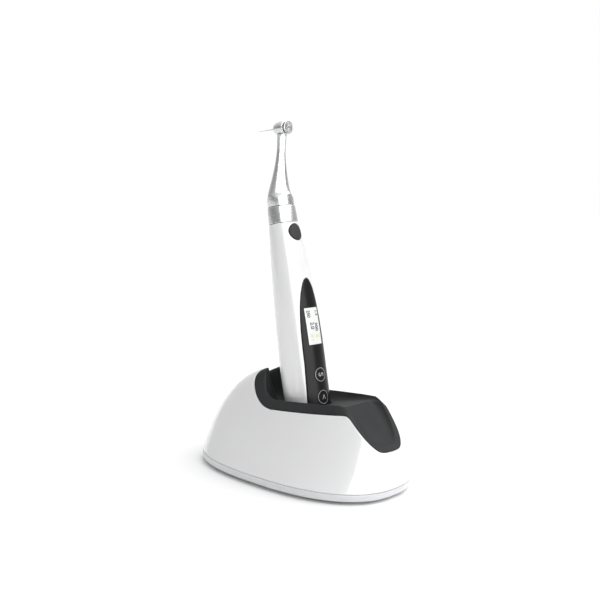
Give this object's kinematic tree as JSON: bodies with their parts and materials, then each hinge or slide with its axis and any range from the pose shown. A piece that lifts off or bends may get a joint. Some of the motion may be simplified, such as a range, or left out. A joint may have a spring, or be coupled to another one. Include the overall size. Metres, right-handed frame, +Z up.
{
  "type": "endodontic motor",
  "caption": "Cordless root-canal handpiece with a bent contra-angle and file, standing in an open-fronted charging base.",
  "frame": {"origin": "middle of the base on the table top, under the feet", "axes": "+Z up, +X to the base's open front and the handpiece's display, +Y to the object's left"},
  "size_m": [0.1514, 0.0854, 0.2186],
  "materials": {
    "white_plastic": "smooth moulded ABS, satin gloss",
    "grey_plastic": "moulded plastic, satin",
    "dark_plastic": "fine matte texture",
    "black_gloss": "polished black lens",
    "screen_glass": "display face, glossy",
    "dark_rubber": "matte, fine texture",
    "polished_steel": "polished stainless steel",
    "brushed_steel": "turned or rolled steel",
    "brass": "machined, some of it gold plated",
    "board_green": "solder mask",
    "cell_blue": null
  },
  "bodies": {
    "base": {"base_shell": "white_plastic", "base_liner": "dark_plastic", "base_plate": "grey_plastic", "foot_front_left": "dark_rubber", "foot_front_right": "dark_rubber", "foot_rear_left": "dark_rubber", "foot_rear_right": "dark_rubber", "base_screw_front_left": "brushed_steel", "base_screw_front_right": "brushed_steel", "base_screw_rear_left": "brushed_steel", "base_screw_rear_right": "brushed_steel", "ballast_weight": "brushed_steel", "charger_board": "board_green", "power_jack": "dark_plastic", "contact_block": "dark_plastic", "contact_spring_left": "brushed_steel", "contact_spring_right": "brushed_steel"},
    "contact_pin_left": {"contact_pin_left": "brass"},
    "contact_pin_right": {"contact_pin_right": "brass"},
    "handpiece": {"body_shell": "white_plastic", "tail_cap": "white_plastic", "charge_pad_left": "brass", "charge_pad_right": "brass", "display_panel": "black_gloss", "display_screen": "screen_glass", "main_board": "board_green", "battery": "cell_blue", "motor": "brushed_steel", "gearbox": "brass", "motor_mount": "dark_plastic", "nose_spigot": "brushed_steel", "o_ring": "dark_rubber", "front_ring": "polished_steel", "power_switch": "dark_plastic"},
    "power_button": {"power_button": "dark_rubber"},
    "key_set": {"key_set": "black_gloss"},
    "key_left": {"key_left": "black_gloss"},
    "key_right": {"key_right": "black_gloss"},
    "motor_shaft": {"motor_shaft": "brushed_steel"},
    "swivel_bush": {"swivel_bush": "brass"},
    "contra_angle": {"neck_sleeve": "polished_steel", "neck_bush": "brass", "head_housing": "polished_steel", "front_bearing": "brushed_steel", "rear_bearing": "brushed_steel", "cap_spring": "brushed_steel"},
    "drive_shaft": {"drive_shaft": "brushed_steel"},
    "neck_shaft": {"neck_crown": "brushed_steel", "neck_shaft": "brushed_steel"},
    "chuck": {"chuck_spindle": "brushed_steel"},
    "file": {"file": "brushed_steel"},
    "head_cap": {"head_cap": "polished_steel"}
  },
  "joints": [
    {"name": "handpiece_lift", "type": "slide", "parent": "base", "child": "handpiece", "axis": [-0.1891, 0, 0.982], "range_m": [0, 0.06]},
    {"name": "contact_pin_left_press", "type": "slide", "parent": "base", "child": "contact_pin_left", "axis": [0.1891, 0, -0.982], "range_m": [0, 0.001], "stiffness_N_per_m": 200, "springref_m": -0.001, "deforming": ["contact_spring_left"]},
    {"name": "contact_pin_right_press", "type": "slide", "parent": "base", "child": "contact_pin_right", "axis": [0.1891, 0, -0.982], "range_m": [0, 0.001], "stiffness_N_per_m": 200, "springref_m": -0.001, "deforming": ["contact_spring_right"]},
    {"name": "power_button_press", "type": "slide", "parent": "handpiece", "child": "power_button", "axis": [-0.982, 0, -0.1891], "range_m": [0, 0.0008], "stiffness_N_per_m": 400, "springref_m": -0.001},
    {"name": "key_set_press", "type": "slide", "parent": "handpiece", "child": "key_set", "axis": [-0.982, 0, -0.1891], "range_m": [0, 0.0003], "stiffness_N_per_m": 400, "springref_m": -0.001},
    {"name": "key_left_press", "type": "slide", "parent": "handpiece", "child": "key_left", "axis": [-0.982, 0, -0.1891], "range_m": [0, 0.0003], "stiffness_N_per_m": 400, "springref_m": -0.001},
    {"name": "key_right_press", "type": "slide", "parent": "handpiece", "child": "key_right", "axis": [-0.982, 0, -0.1891], "range_m": [0, 0.0003], "stiffness_N_per_m": 400, "springref_m": -0.001},
    {"name": "motor_spin", "type": "hinge", "parent": "handpiece", "child": "motor_shaft", "pos_m": [0.0144, 0, 0], "axis": [-0.1891, 0, 0.982], "continuous": true},
    {"name": "contra_swivel", "type": "hinge", "parent": "handpiece", "child": "swivel_bush", "pos_m": [0.0144, 0, 0], "axis": [-0.1891, 0, 0.982], "continuous": true},
    {"name": "contra_pull", "type": "slide", "parent": "swivel_bush", "child": "contra_angle", "axis": [-0.1891, 0, 0.982], "range_m": [0, 0.012]},
    {"name": "drive_shaft_spin", "type": "hinge", "parent": "contra_angle", "child": "drive_shaft", "pos_m": [0.0144, 0, 0], "axis": [-0.1891, 0, 0.982], "continuous": true},
    {"name": "neck_shaft_spin", "type": "hinge", "parent": "contra_angle", "child": "neck_shaft", "pos_m": [-0.01918, 0, 0.1744], "axis": [0.0698, 0, 0.9976], "continuous": true},
    {"name": "chuck_spin", "type": "hinge", "parent": "contra_angle", "child": "chuck", "pos_m": [-0.0164, 0, 0.2142], "axis": [0.9981, 0, 0.061], "continuous": true},
    {"name": "file_pull", "type": "slide", "parent": "chuck", "child": "file", "axis": [-0.9981, 0, -0.061], "range_m": [0, 0.012]},
    {"name": "cap_press", "type": "slide", "parent": "contra_angle", "child": "head_cap", "axis": [-0.9981, 0, -0.061], "range_m": [0, 0.0007], "stiffness_N_per_m": 400, "springref_m": -0.001}
  ],
  "couplings": [
    {"joint": "drive_shaft_spin", "follows": "motor_spin", "ratio": 1},
    {"joint": "neck_shaft_spin", "follows": "motor_spin", "ratio": 1},
    {"joint": "chuck_spin", "follows": "motor_spin", "ratio": -0.58333}
  ]
}
